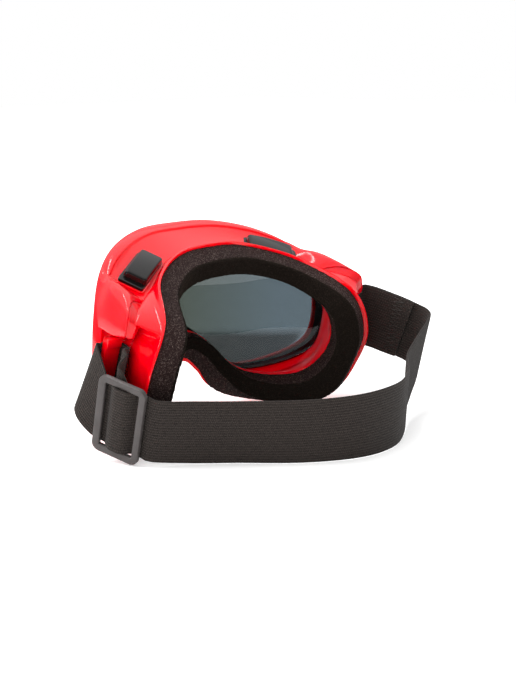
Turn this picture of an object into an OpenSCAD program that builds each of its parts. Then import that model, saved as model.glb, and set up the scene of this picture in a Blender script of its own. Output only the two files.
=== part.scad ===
// Snow and motocross style sports goggles: a red two-piece frame, tinted double lens,
// layered face foam, two sliding top vents and a ribbed elastic strap with an adjuster slider.
// Millimetres, Z up, standing on the cheek pads, leaning back on the strap.

/* [Pose] */
// backward lean of the goggles on the floor
tilt = 18; // [10:1:24]
// height of the goggle frame origin above the floor
seat_z = 2.9; // [2.7:0.1:3.4]

/* [Frame] */
// radius of the front rim in plan
rim_radius = 120; // [112:2:130]
// forward position of the front rim at the centre
rim_front = -47; // [-50:1:-44]
// backward slope of the front rim from its top to its bottom
rim_slope = 0.25; // [0.2:0.01:0.3]
// depth of the raised front rim band
rim_band = 8; // [6:0.5:9]
// step down behind the front rim band
rim_step = 1.3; // [0.8:0.1:2]
// wall thickness of the front frame
cowl_wall = 2.4; // [2:0.1:3]
// thickness of the flange under the foam
flange_thk = 1.8; // [1.4:0.1:2.6]
// share of the flange width left bare outside the foam
flange_lip = 0.12; // [0.06:0.02:0.24]

/* [Lens] */
// thickness of the outer lens
lens_thk = 1.8; // [1.2:0.1:2.4]
// thickness of the inner lens
inner_thk = 1.2; // [0.8:0.1:1.6]
// air gap between the two lenses
lens_gap = 4; // [3:0.5:5]
// width of the spacer seal between the lenses
seal_w = 4; // [3:0.5:5]

/* [Foam] */
// thickness of the face foam
foam_thk = 11; // [8:0.5:14]
// thickness of the fleece face layer
fleece_thk = 1.2; // [0.8:0.2:2]

/* [Vents] */
// length of the vent slider cap
cap_l = 28; // [24:1:29]
// width of the vent slider cap
cap_w = 11.5; // [10:0.5:12]
// height of the vent slider cap
cap_h = 3.6; // [3:0.2:4.4]
// travel of a vent slider each way
vent_travel = 3; // [2:0.5:3]
// clearance round the moving vent parts
vent_gap = 0.15; // [0.1:0.05:0.3]

/* [Strap] */
// width of the elastic strap
strap_w = 38; // [34:1:40]
// thickness of the elastic strap
strap_t = 1.4; // [1.2:0.1:1.6]
// outer width of the adjuster along the strap
slider_l = 27.6; // [26:0.2:29]
// thickness of the adjuster frame
slider_t = 3; // [2.6:0.2:3.2]
// width of the adjuster side bars
slider_bar = 4; // [3.5:0.5:4.5]
// thickness of the strap plates at their top tab
plate_d = 4; // [3.4:0.2:4.6]

/* [Hidden] */
N = 4;
lean = tilt;

red = [0.82, 0.05, 0.07];
black = [0.08, 0.08, 0.08];
grey = [0.22, 0.21, 0.21];

rim_top = 99.5;
lens_lean = atan(rim_slope);
lens_seat = 2.7;

// helpers
function arc_y(x, r) = r - sqrt(r * r - x * x);
function unit(v) = v / norm(v);
function lerp(a, b, t) = a + (b - a) * t;
function tip(p) = [p[0], p[1] * cos(lean) + p[2] * sin(lean),
  p[2] * cos(lean) - p[1] * sin(lean) + seat_z];
base_x = -6.06;
base_y = 61.385;
module based() {
  translate([-base_x, -base_y, 0]) children();
}
function cm(a, b, c, d, t) = 0.5 * (2 * b + (c - a) * t
  + (2 * a - 5 * b + 4 * c - d) * t * t + (3 * b - a - 3 * c + d) * t * t * t);
// full closed loop of points from a half list that starts and ends on the centre plane
function whole(h) = concat(h, [for (i = [len(h) - 2:-1:1]) [-h[i][0], h[i][1], h[i][2]]]);
function loop(h) = let (p = whole(h), m = len(p))
  [for (i = [0:m - 1]) for (k = [0:N - 1])
    cm(p[(i + m - 1) % m], p[i], p[(i + 1) % m], p[(i + 2) % m], k / N)];
// point moved inward from the outline by d in the xz plane
function core(p) = [max(-45, min(45, p[0])), p[1], 52];
function inset(p, d) = p - unit([p[0] - core(p)[0], 0, p[2] - 52]) * d;
function inset_all(h, d) = [for (p = h) inset(p, d)];
function at_y(h, y0) = [for (p = h)
  [p[0], y0 + rim_slope * (rim_top - p[2]) + arc_y(p[0], rim_radius) / cos(lens_lean), p[2]]];
function shift_y(h, dy) = [for (p = h) [p[0], p[1] + dy, p[2]]];
function mix(a, b, t) = [for (i = [0:len(a) - 1]) lerp(a[i], b[i], t)];

// ring solid from closed rails, in order round the cross-section
module ring_solid(rails, flip = false) {
  k = len(rails);
  n = len(rails[0]);
  pts = [for (r = rails) for (p = r) p];
  tris = [for (j = [0:k - 1]) for (i = [0:n - 1])
    let (a = j * n + i, b = j * n + (i + 1) % n,
      c = ((j + 1) % k) * n + (i + 1) % n, d = ((j + 1) % k) * n + i)
    each (flip ? [[a, b, c], [a, c, d]] : [[a, c, b], [a, d, c]])];
  polyhedron(points = pts, faces = tris);
}

module goggle() {
  translate([0, 0, seat_z]) rotate([-lean, 0, 0]) children();
}

// half outlines, from the top centre round the wearer's left to the nose
rim_h = [[0, 0, 99.5], [28, 0, 99.5], [55, 0, 96], [75, 0, 88], [87, 0, 72], [90, 0, 53],
  [86, 0, 33], [68, 0, 17], [43, 0, 10], [26, 0, 17], [14, 0, 31], [0, 0, 37]];
waist_h = [[0, -28, 96], [27.5, -25.5, 94.8], [53, -13.5, 88.6], [72, 1, 82], [82.5, 10, 68.6],
  [82.2, 14, 51.5], [79, 13.5, 31.5], [65.5, 3.4, 15.4], [39.5, -7.6, 8.6], [23.5, -13, 15.1],
  [13, -18, 27.6], [0, -20, 34.1]];
valley_h = [[0, -16, 94.5], [27, -15.5, 93], [53, 2.5, 86.3], [72, 19, 79.5], [80, 23, 66.5],
  [80.3, 23, 50], [76.5, 20, 30], [63, 7, 13], [36, -4, 7], [21, -8, 13], [12, -12, 24],
  [0, -14, 31]];
flange_h = [[0, -10, 102], [26, -9, 99.5], [54, 9, 94.5], [73, 38, 85], [85, 47, 62],
  [85, 46, 39], [79, 40, 16], [61, 22, 2.6], [36, 5, 1.6], [20, 0, 9], [11, -4, 20], [0, -6, 27]];
eye_h = [[0, -10, 86], [26, -8, 84], [48, 4, 80], [62, 24, 72], [69, 32, 58], [69, 32, 42],
  [63, 24, 29], [52, 12, 22], [38, 2, 20], [27, -4, 26], [15, -9, 37], [0, -11, 43]];
pad = [1, 1, 1, 1, 1, 1, 1, 1, 0.9, 0.75, 0.6, 0.55];

// direction in which the foam stands on the flange
function wrap(p) = let (a = 50 * pow(min(1, abs(p[0]) / 85), 2))
  [-sign(p[0]) * sin(a), cos(a), 0];
function stand(h, d) = [for (i = [0:len(h) - 1]) h[i] + wrap(h[i]) * d * (d > 5 ? pad[i] : 1)];
function tipped(l) = [for (p = l) tip(p)];
function floored(l) = [for (p = l) let (q = tip(p)) [q[0], q[1], max(q[2], 0)]];

base_out = loop(mix(flange_h, eye_h, flange_lip));
base_in = loop(eye_h);
foam_rear_out = loop(stand(inset_all(mix(flange_h, eye_h, flange_lip + 0.1), 1.5), foam_thk));
foam_rear_in = loop(stand(mix(flange_h, eye_h, 0.97), foam_thk));
fleece_out = loop(stand(inset_all(mix(flange_h, eye_h, flange_lip + 0.16), 1.5), foam_thk + fleece_thk));
fleece_in = loop(stand(mix(flange_h, eye_h, 0.94), foam_thk + fleece_thk));

// vent seats on the top of the front frame
vent_pos = [49.7, -12.1, 89.7];
vent_yaw = 32;
vent_roll = 8;
vent_pitch = -10;
module vent_place(side) {
  goggle() mirror([side < 0 ? 1 : 0, 0, 0]) translate(vent_pos)
    rotate([0, 0, vent_yaw]) rotate([0, vent_roll, 0]) rotate([vent_pitch, 0, 0]) children();
}
pocket_l = cap_l + 2 * vent_travel + 2;
pocket_w = cap_w + 4;
seat_h = 0;
pad_lip = 0.6;
screen_l = cap_l - 5;
screen_w = cap_w - 1.5;
pad_deep = 4.5;

module box_c(l, w, z0, z1) {
  translate([-l / 2, -w / 2, z0]) cube([l, w, z1 - z0]);
}

// raised pad under a vent, deeper at its outboard end where the cowl falls away
module vent_pad() {
  l = pocket_l + 2 * pad_lip;
  w = pocket_w + 2 * pad_lip;
  translate([0, w / 2, 0]) rotate([90, 0, 0]) linear_extrude(height = w)
    polygon([[-l / 2, -0.3], [-l / 4, -1.2], [0, -2.2], [l / 2, -pad_deep], [l / 2, 0.4], [-l / 2, 0.4]]);
}

// solid lofted through closed sections of outer points followed by inner points
module loft(sections) {
  k = len(sections);
  n = len(sections[0]);
  m = n / 2;
  pts = [for (q = sections) for (p = q) p];
  sides = [for (j = [0:k - 2]) for (i = [0:n - 1])
    let (a = j * n + i, b = j * n + (i + 1) % n)
    each [[a, b + n, b], [a, a + n, b + n]]];
  ends = [for (i = [0:m - 2]) let (a = i, b = i + 1, c = n - 2 - i, d = n - 1 - i, e = (k - 1) * n)
    each [[a, b, c], [a, c, d], [e + a, e + c, e + b], [e + a, e + d, e + c]]];
  polyhedron(points = pts, faces = concat(sides, ends));
}

// smooth arm from the rim band back to a squared tail that overhangs the strap bar
arm_h = [[73, 0, 89.2], [78, 0, 85], [82.1, 0, 80.7], [85, 0, 76], [86.3, 0, 73.5]];
arm_rows = [
  [[75, -2, 87.2], [80, 0, 88.4], [85, 4.5, 86], [87.8, 8.5, 80], [88.4, 9.5, 73.8]],
  [[73.5, 7, 85.4], [80, 10, 88.6], [87, 15.5, 87.4], [90, 18.5, 81.5], [90.6, 19, 74.4]],
  [[68, 10.5, 84], [79, 16, 88.4], [89.3, 26.5, 86.4], [91.4, 28.6, 82], [92.1, 29.5, 77.4]]];
module shoulder(side) {
  rows = concat([at_y(inset_all(arm_h, rim_step + 0.1), rim_front + rim_band - 1)], arm_rows);
  goggle() mirror([side < 0 ? 1 : 0, 0, 0])
    loft([for (r = rows) concat(r, [for (i = [len(r) - 1:-1:0]) inset(r[i], cowl_wall - 0.2)])]);
}

module front_frame() {
  rim_back = rim_front + rim_band;
  color(red) difference() {
    union() {
      ring_solid([
        tipped(loop(at_y(rim_h, rim_front))),
        tipped(loop(at_y(inset_all(rim_h, -0.5), rim_front + rim_band / 2))),
        tipped(loop(at_y(rim_h, rim_back))),
        tipped(loop(at_y(inset_all(rim_h, rim_step), rim_back + 0.3))),
        tipped(loop(waist_h)),
        tipped(loop(valley_h)),
        tipped(loop(inset_all(valley_h, cowl_wall))),
        tipped(loop(inset_all(waist_h, cowl_wall))),
        tipped(loop(at_y(inset_all(rim_h, rim_step + cowl_wall), rim_front + 9))),
        tipped(loop(at_y(inset_all(rim_h, rim_step + cowl_wall), rim_front + lens_seat))),
        tipped(loop(at_y(inset_all(rim_h, 7), rim_front + lens_seat))),
        tipped(loop(at_y(inset_all(rim_h, 6.2), rim_front)))]);
      for (s = [-1, 1]) vent_place(s) {
        vent_pad();
        for (e = [-1, 1]) translate([e * (cap_l / 2 - 3), 0, 0]) box_c(1, 6, shoe_h - 1.7, -0.5);
      }
      for (s = [-1, 1]) shoulder(s);
    }
    for (s = [-1, 1]) vent_place(s) {
      box_c(pocket_l, pocket_w, seat_h, 12);
      box_c(cap_l - 8, cap_w - 4, -9, 2);
      box_c(screen_l + 0.6, screen_w + 0.6, -9, shoe_h - 1.7);
    }
  }
}

module face_frame() {
  nest = cowl_wall + 0.4;
  dip = 0.09;
  color(red) ring_solid([
    tipped(loop(mix(inset_all(valley_h, nest), inset_all(waist_h, nest), dip))),
    tipped(loop(shift_y(inset_all(valley_h, nest), 0.1))),
    tipped(loop(shift_y(inset_all(valley_h, 0.2), 0.4))),
    tipped(loop(mix(shift_y(inset_all(valley_h, 0.8), 2),
      shift_y(inset_all(flange_h, 4), -2), 0.6))),
    floored(loop(stand(inset_all(flange_h, 0.6), -flange_thk))),
    floored(loop(flange_h)),
    tipped(base_out),
    tipped(base_in),
    tipped(loop(stand(inset_all(eye_h, 0.5), -2.5))),
    tipped(loop(shift_y(inset_all(valley_h, nest + 2), 0.5))),
    tipped(loop(mix(inset_all(valley_h, nest + 1.8), inset_all(waist_h, nest + 1.8), dip)))]);
}

module face_foam() {
  color(black) ring_solid([tipped(base_out), tipped(base_in), floored(foam_rear_in),
    floored(foam_rear_out)], true);
}

module fleece_liner() {
  color([0.12, 0.11, 0.11]) ring_solid([floored(foam_rear_in), floored(foam_rear_out),
    floored(fleece_out), floored(fleece_in)]);
}

// lenses: cylindrical shells, leaning with the rim and cut to its opening
module lens_outline(d) {
  polygon([for (p = loop(inset_all(rim_h, d))) [p[0], p[2]]]);
}

module lens_shell(r_out, r_in) {
  translate([0, rim_front + lens_seat + 0.4, rim_top]) rotate([lens_lean, 0, 0])
    translate([0, rim_radius, -110]) difference() {
      cylinder(r = r_out, h = 130, $fn = 200);
      translate([0, 0, -1]) cylinder(r = r_in, h = 132, $fn = 200);
    }
}

module lens_blank() {
  translate([0, 40, 0]) rotate([90, 0, 0]) linear_extrude(height = 110) children();
}

lens_clear = rim_step + cowl_wall + 0.7;
r_seal = rim_radius - lens_thk;
r_inner = r_seal - lens_gap;

module lens_outer() {
  color([0.35, 0.38, 0.38]) goggle() intersection() {
    lens_shell(rim_radius, r_seal);
    lens_blank() lens_outline(lens_clear);
  }
}

module lens_inner() {
  color([0.5, 0.55, 0.55]) goggle() intersection() {
    lens_shell(r_inner, r_inner - inner_thk);
    lens_blank() lens_outline(lens_clear + 4);
  }
}

module lens_spacer() {
  color(black) goggle() intersection() {
    lens_shell(r_seal, r_inner);
    lens_blank() difference() {
      lens_outline(lens_clear + 4);
      lens_outline(lens_clear + 4 + seal_w);
    }
  }
}

// vent parts in the frame of their seat, length along x
stem_l = cap_l - 17;
plate_t = 1.6;
shoe_h = -2.2;
module vent_track(side) {
  color(black) vent_place(side) difference() {
    union() {
      box_c(pocket_l - 0.6, pocket_w - 0.6, seat_h + 0.05, seat_h + plate_t);
      box_c(cap_l - 8.6, cap_w - 4.6, shoe_h, seat_h + 1);
    }
    box_c(stem_l + 2 * vent_travel + 2 * vent_gap, 3, shoe_h - 1, seat_h + 3);
    for (s = [-1, 1]) translate([0, s * 4.1, 0]) box_c(stem_l + 4, 0.8, seat_h - 1, seat_h + 3);
  }
}

// arched block seen from its long side
module cap_side() {
  polygon(concat([[-cap_l / 2, 0], [cap_l / 2, 0]],
    [for (t = [1:-0.2:-1]) [t * (cap_l / 2 - 1.4), cap_h * (1 - 0.25 * t * t)]]));
}

module vent_slider(side) {
  z0 = seat_h + plate_t + vent_gap;
  color([0.1, 0.1, 0.1]) vent_place(side) union() {
    translate([0, cap_w / 2, z0]) rotate([90, 0, 0]) linear_extrude(height = cap_w) cap_side();
    box_c(stem_l, 3 - 2 * vent_gap, shoe_h - 0.5, z0 + 0.2);
    box_c(stem_l, 6, shoe_h - 1.6, shoe_h - vent_gap);
  }
}

module vent_screen(side) {
  color([0.05, 0.05, 0.05]) vent_place(side)
    box_c(screen_l, screen_w, shoe_h - 2.6, shoe_h - 1.8);
}

// strap plates on the sides of the frame: the strap wraps round their front
plate_x0 = 85;
plate_x1 = 95;
rim_gap = 1.5;
plate_y0 = rim_front + rim_band + rim_slope * (rim_top - 42)
  + arc_y(89.2, rim_radius) / cos(lens_lean) + rim_gap;
plate_top = 68.6;
tab_top = 72.2;
lug_t = 2.6;
plate_low = plate_top - strap_w - 1.6 - lug_t;
module outrigger(side) {
  thin = plate_d - 0.8;
  color(red) goggle() mirror([side < 0 ? 1 : 0, 0, 0]) union() {
    translate([plate_x0, 0, 0]) rotate([90, 0, 90]) linear_extrude(height = plate_x1 - plate_x0)
      translate([plate_y0, 0]) polygon([[0, plate_low], [thin, plate_low], [thin, plate_top - 2.2],
        [plate_d, plate_top - 2.2], [plate_d, tab_top], [0, tab_top]]);
    translate([0, 0, plate_low + 0.2]) linear_extrude(height = lug_t - 0.2)
      polygon([[77, 16], [plate_x0 + 3, plate_y0 + 0.4], [plate_x0 + 3, plate_y0 + 2.6], [76.6, 18.4]]);
    translate([0, 0, tab_top - lug_t - 0.6]) linear_extrude(height = lug_t + 0.4)
      polygon([[81.4, 14.6], [plate_x1 - 1, plate_y0 + 0.4], [plate_x1 - 1, plate_y0 + 2.6], [80.2, 19.6]]);
  }
}

// adjuster slider: centre and its three axes
sl_c = [98.1, 53.5, 25.3];
sl_s = unit([0.342, -0.894, 0.289]);
sl_u = unit([0.118, 0.346, 0.931] - sl_s * (sl_s * [0.118, 0.346, 0.931]));
sl_n = cross(sl_u, sl_s);
sl_h = strap_w + 2 * slider_bar;
corner_r = 4;
module slider_place() {
  multmatrix([[sl_s[0], sl_u[0], -sl_n[0], sl_c[0]], [sl_s[1], sl_u[1], -sl_n[1], sl_c[1]],
    [sl_s[2], sl_u[2], -sl_n[2], sl_c[2]], [0, 0, 0, 1]]) children();
}

module round_rect(l, w, r) {
  union() {
    square([l - 2 * r, w], center = true);
    square([l, w - 2 * r], center = true);
    for (x = [-1, 1]) for (y = [-1, 1]) translate([x * (l / 2 - r), y * (w / 2 - r)])
      circle(r = r, $fn = 32);
  }
}

module strap_slider() {
  color(grey) slider_place() union() {
    translate([0, 0, -slider_t / 2]) linear_extrude(height = slider_t) difference() {
      round_rect(slider_l, sl_h, corner_r);
      round_rect(slider_l - 2 * slider_bar, strap_w + 1.2, corner_r - 2.5);
    }
    translate([-1.2, -sl_h / 2 + 2, 0.9]) cube([2.4, sl_h - 4, 1.6]);
  }
}

// strap: bottom edge points and the direction across the webbing
hw = strap_w / 2;
up_g = unit(tip([0, 0, 1]) - tip([0, 0, 0]));
bar_mid = plate_top - 0.4 - hw;
function gp(x, y) = tip([x, y, bar_mid - hw]);
function at_slider(s, n) = sl_c + sl_s * s + sl_n * n - sl_u * hw;
function st(b, u) = [b, unit(u)];
wrap_r = 1.15 + strap_t / 2;
function wrap_pts(a) = [plate_x0 + 0.6 + (a <= 90 ? plate_x1 - plate_x0 - 1.2 : 0) + wrap_r * cos(a),
  plate_y0 + 0.6 - wrap_r * sin(a)];
strap_path = concat(
  // sewn end inside the far band, then round the right bar
  [st([-114.4, 60, 24.6], [0, 0.38, 0.92]), st([-111.2, 53.2, 26.8], [0, 0.2, 0.98]),
    st([-106.6, 44.4, 30], [0, 0.1, 1]), st([-101.8, 37.8, 30.4], [-0.02, 0.14, 1]),
    st(gp(-wrap_pts(180)[0] - 1, plate_y0 + 8.5), up_g)],
  [for (a = [180, 135, 90, 89.9, 45, 0]) let (q = wrap_pts(a)) st(gp(-q[0], q[1]), up_g)],
  [st(gp(-wrap_pts(0)[0] - 1, plate_y0 + 5), up_g), st([-103.4, 36.6, 30.4], [-0.02, 0.14, 1]),
    st([-108.3, 43.5, 30], [0, 0.1, 1]), st([-113, 52.4, 26.8], [0, 0.2, 0.98]),
    st([-116.4, 59.6, 24.4], [0, 0.38, 0.92]), st([-117.8, 68, 21.2], [0, 0.38, 0.92]),
    st([-111.8, 78.8, 16.2], [0, 0.26, 1]), st([-92.5, 89.8, 9.6], [0.08, 0.2, 1]),
    st([-70, 103, 3.4], [0.08, 0.13, 1]), st([-50.5, 118.8, 0.6], [0.02, 0.1, 1]),
    st([-25, 132, 0.4], [0.05, 0.16, 1]), st([1, 132, 0.4], [0.16, 0.2, 1]),
    st([28, 117, 0.4], [0.17, 0.26, 1]), st([52, 92, 0.4], [0.2, 0.28, 1]),
    st([69, 76.5, 0.8], [0.17, 0.3, 1])],
  // over the adjuster and out to the left bar
  [st(at_slider(-20, -3.2), sl_u), st(at_slider(-13.6, -2.75), sl_u), st(at_slider(-9.8, -2.75), sl_u),
    st(at_slider(-7.4, -2.2), sl_u), st(at_slider(-5.2, 0.3), sl_u), st(at_slider(-3, 1.8), sl_u),
    st(at_slider(0, 2), sl_u), st(at_slider(3, 1.8), sl_u), st(at_slider(5.2, 0.3), sl_u),
    st(at_slider(7.4, -2.2), sl_u), st(at_slider(9.8, -2.75), sl_u), st(at_slider(13.8, -2.85), sl_u)],
  [st([100.4, 30.1, 15.6], [0.03, 0.49, 0.87]), st([103.2, 26.4, 21.3], [-0.07, 0.49, 0.87]),
    st([103.2, 23.7, 26], [-0.09, 0.46, 0.88]), st([100.8, 23, 28.2], [-0.06, 0.39, 0.92])],
  [for (a = [60, 89.9, 90, 135, 180]) let (q = wrap_pts(a)) st(gp(q[0], q[1]), up_g)],
  [st(gp(wrap_pts(180)[0], plate_y0 + 8), up_g), st([91.3, 39.3, 24.9], [0.01, 0.31, 0.95]),
    st([91.8, 41.5, 23.4], [0.03, 0.35, 0.94]), st([93.4, 42.3, 21], [0.12, 0.36, 0.93]),
    st([94, 43, 18.6], [0.15, 0.36, 0.93]), st([93.4, 44.2, 16.1], [0.15, 0.39, 0.92])],
  // sewn round the centre bar of the adjuster
  [st(at_slider(0.6, -4.4) + sl_u * 4, sl_u), st(at_slider(-1.6, -3.7) + sl_u * 2, sl_u),
    st(at_slider(-2.7, -2.6) + sl_u, sl_u), st(at_slider(-2.8, -1.2), sl_u),
    st(at_slider(-1.8, -0.2), sl_u), st(at_slider(0, 0.1), sl_u), st(at_slider(2.6, -0.5), sl_u),
    st(at_slider(4.4, -1.8), sl_u)]);
SM = 3;
function sweep_pts(path) = let (m = len(path))
  [for (i = [0:m - 2]) for (k = [0:(i == m - 2 ? SM : SM - 1)])
    let (a = path[max(0, i - 1)], b = path[i], c = path[i + 1], d = path[min(m - 1, i + 2)])
    [cm(a[0], b[0], c[0], d[0], k / SM), unit(cm(a[1], b[1], c[1], d[1], k / SM))]];
module strap() {
  q = sweep_pts(strap_path);
  n = len(q);
  pts = [for (i = [0:n - 1])
    let (t = unit(q[min(n - 1, i + 1)][0] - q[max(0, i - 1)][0]),
      w = unit(cross(t, q[i][1])) * strap_t / 2, b = q[i][0], u = q[i][1] * strap_w)
    each [b - w, b + w, b + u + w, b + u - w]];
  sides = [for (i = [0:n - 2]) for (k = [0:3])
    let (a = 4 * i + k, b = 4 * i + (k + 1) % 4) each [[a, b, b + 4], [a, b + 4, a + 4]]];
  color(black) polyhedron(points = pts,
    faces = concat(sides, [[0, 3, 2], [0, 2, 1]],
      [[4 * n - 4, 4 * n - 3, 4 * n - 2], [4 * n - 4, 4 * n - 2, 4 * n - 1]]));
}

based() front_frame();
based() face_frame();
based() lens_outer();
based() lens_inner();
based() lens_spacer();
based() face_foam();
based() fleece_liner();
based() outrigger(1);  // outrigger_left
based() outrigger(-1);  // outrigger_right
based() vent_track(1);  // vent_track_left
based() vent_track(-1);  // vent_track_right
based() vent_slider(1);  // vent_slider_left
based() vent_slider(-1);  // vent_slider_right
based() vent_screen(1);  // vent_screen_left
based() vent_screen(-1);  // vent_screen_right
based() strap();
based() strap_slider();
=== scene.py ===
"""Ski-type sports goggles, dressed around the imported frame.

The goggles stand on their cheek rims and lean back. A two-piece red frame holds a tinted double
lens, face foam faced with fleece, two sliding top vents and a ribbed elastic strap with an
adjuster. Sizes are in millimetres, in the leaning frame of the goggles where a name says so, and
turn to metres in the row frame when a mesh is made.
"""

import logging
import math
from dataclasses import dataclass, field
from enum import Enum
from typing import Any, Callable, Dict, List, Optional, Sequence, Tuple

import bmesh
import bpy
from mathutils import Matrix, Vector, noise


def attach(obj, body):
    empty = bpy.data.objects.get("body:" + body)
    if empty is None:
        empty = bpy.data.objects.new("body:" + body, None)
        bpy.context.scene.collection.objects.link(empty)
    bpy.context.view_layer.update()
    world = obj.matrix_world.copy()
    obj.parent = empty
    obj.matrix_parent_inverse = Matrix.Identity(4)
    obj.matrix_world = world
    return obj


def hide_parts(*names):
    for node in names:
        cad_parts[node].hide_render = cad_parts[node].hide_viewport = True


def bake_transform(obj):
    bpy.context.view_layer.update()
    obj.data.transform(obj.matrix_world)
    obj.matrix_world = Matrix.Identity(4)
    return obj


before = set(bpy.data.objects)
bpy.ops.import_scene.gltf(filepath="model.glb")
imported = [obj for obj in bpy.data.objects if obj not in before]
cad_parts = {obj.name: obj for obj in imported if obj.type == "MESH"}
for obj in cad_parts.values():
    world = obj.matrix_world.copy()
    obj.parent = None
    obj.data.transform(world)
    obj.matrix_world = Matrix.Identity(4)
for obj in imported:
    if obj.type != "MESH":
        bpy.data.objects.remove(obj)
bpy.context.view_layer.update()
LOG = logging.getLogger("goggles")
MM = 0.001
FLOOR_GAP = 0.0002

Points = List[Vector]
Shift = Callable[[float], Vector]
Pair = Tuple[float, float]
Triple = Tuple[float, float, float]


class Side(Enum):
    """The wearer's side that a piece stands on."""

    LEFT = 1
    RIGHT = -1

    @property
    def word(self) -> str:
        """Name of the side, as the node names have it."""
        return self.name.lower()


class Skin(Enum):
    """How the faces of a finished mesh are shaded: the angle in degrees above which an edge is sharp."""

    SMOOTH = 180.0
    EDGED = 38.0


@dataclass(frozen=True)
class Stance:
    """How the goggles stand on the floor: lean in radians, seat height and shift to the origin in mm."""

    lean: float = math.radians(18)
    seat: float = 2.9
    shift: Triple = (6.06, -61.385, 0.0)

    def tip(self, p: Vector) -> Vector:
        """Turns a point of the leaning frame to a point of the standing frame.

        Args:
            p: point in the leaning frame, mm.

        Returns:
            The point in the standing frame, mm, before the shift to the origin.
        """
        c, s = math.cos(self.lean), math.sin(self.lean)
        return Vector((p.x, p.y * c + p.z * s, p.z * c - p.y * s + self.seat))

    def row(self, p: Vector) -> Vector:
        """Moves a standing point in mm to the row frame in metres."""
        return (p + Vector(self.shift)) * MM

    def place(self, p: Vector) -> Vector:
        """Takes a point of the leaning frame, mm, to the row frame, metres."""
        return self.row(self.tip(p))


STANCE = Stance()


def mixed(a: Any, b: Any, t: float) -> Any:
    """Value or point a share t of the way from a to b."""
    return a + (b - a) * t


def spline(a: Any, b: Any, c: Any, d: Any, t: float) -> Any:
    """Point of the smooth curve through b and c, with neighbours a and d, at t from 0 to 1."""
    return 0.5 * (2 * b + (c - a) * t + (2 * a - 5 * b + 4 * c - d) * t**2 + (3 * b - a - 3 * c + d) * t**3)


def around(points: Sequence[Any], i: int, closed: bool = False) -> List[Any]:
    """The two ends of stretch i of a run of points, with the point before them and the one after."""
    n = len(points)
    return [points[(i + k) % n if closed else max(0, min(n - 1, i + k))] for k in (-1, 0, 1, 2)]


def curve(points: Sequence[Any], steps: int, closed: bool = False) -> List[Any]:
    """Smooth curve through points, with equally many steps on each stretch."""
    stretches = len(points) if closed else len(points) - 1
    out = [spline(*around(points, i, closed), k / steps) for i in range(stretches) for k in range(steps)]
    return out if closed else out + [points[-1]]


# Outlines


@dataclass(frozen=True)
class Outline:
    """Half an outline, from the top centre round the wearer's left to the nose, mm."""

    half: Tuple[Triple, ...]

    def points(self) -> Points:
        """The half outline as vectors."""
        return [Vector(p) for p in self.half]


RIM = Outline(((0, 0, 99.5), (28, 0, 99.5), (55, 0, 96), (75, 0, 88), (87, 0, 72), (90, 0, 53),
               (86, 0, 33), (68, 0, 17), (43, 0, 10), (26, 0, 17), (14, 0, 31), (0, 0, 37)))
WAIST = Outline(((0, -28, 96), (27.5, -25.5, 94.8), (53, -13.5, 88.6), (72, 1, 82), (82.5, 10, 68.6),
                 (82.2, 14, 51.5), (79, 13.5, 31.5), (65.5, 3.4, 15.4), (39.5, -7.6, 8.6),
                 (23.5, -15.5, 13.5), (13, -20.5, 26.4), (0, -22.3, 33)))
VALLEY = Outline(((0, -16, 94.5), (27, -15.5, 93), (53, 2.5, 86.3), (72, 19, 79.5), (80, 23, 66.5),
                  (80.3, 23, 50), (76.5, 20, 30), (63, 7, 13), (36, -6.5, 6), (21, -12.5, 10),
                  (12, -17.5, 21.6), (0, -19.6, 29)))
FLANGE = Outline(((0, -10, 102), (26, -9, 99.5), (54, 9, 94.5), (73, 38, 85), (85, 47, 62),
                  (85, 46, 39), (79, 40, 16), (61, 22, 2.6), (36, 1, 1), (20, -7.5, 6.3),
                  (11, -12.5, 16.8), (0, -14.5, 24)))
EYE = Outline(((0, -10, 86), (26, -8, 84), (48, 4, 80), (62, 24, 72), (69, 32, 58), (69, 32, 42),
               (63, 24, 26), (52, 12, 19), (38, 0, 18.5), (27, -8, 25), (15, -15, 36), (0, -17.5, 42)))
FOAM_SHARE = (1, 1, 1, 1, 1, 1, 1, 1, 0.9, 0.7, 0.5, 0.45)
FOAM_ROUND = (0, 0, 0, 0, 0, 0, 0, 0, 0.06, 0.24, 0.26, 0.24)
CORE_HALF = 45.0
CORE_HEIGHT = 52.0
RIM_RADIUS = 120.0
RIM_FRONT = -47.0
RIM_SLOPE = 0.25
RIM_TOP = 99.5


def inset(half: Points, d: float) -> Points:
    """Moves a half outline inward by d mm, across the view from the front."""
    out = []
    for p in half:
        core = Vector((max(-CORE_HALF, min(CORE_HALF, p.x)), 0, CORE_HEIGHT))
        out.append(p - Vector((p.x - core.x, 0, p.z - core.z)).normalized() * d)
    return out


def on_rim(half: Points, front: float, behind: float = 0.0) -> Points:
    """Lays points on the curved, sloping face of the front rim.

    Args:
        half: points whose width and height are kept, mm.
        front: depth of the face at its top centre, mm.
        behind: how far a face inside it lies behind it, mm.

    Returns:
        The points in the leaning frame.
    """
    lean = math.atan(RIM_SLOPE)
    return [Vector((p.x, front + RIM_SLOPE * (RIM_TOP - p.z)
                    + (RIM_RADIUS - math.sqrt((RIM_RADIUS - behind)**2 - p.x**2)) / math.cos(lean), p.z))
            for p in half]


def mirrored(half: Points) -> Points:
    """Whole outline from its half on the wearer's left."""
    return half + [Vector((-p.x, p.y, p.z)) for p in reversed(half[1:-1])]


def moved(half: Points, dy: float) -> Points:
    """Moves a half outline dy mm towards the wearer."""
    return [p + Vector((0, dy, 0)) for p in half]


def between(a: Points, b: Points, t: float) -> Points:
    """Half outline a share t of the way from a to b."""
    return [mixed(p, q, t) for p, q in zip(a, b)]


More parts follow.
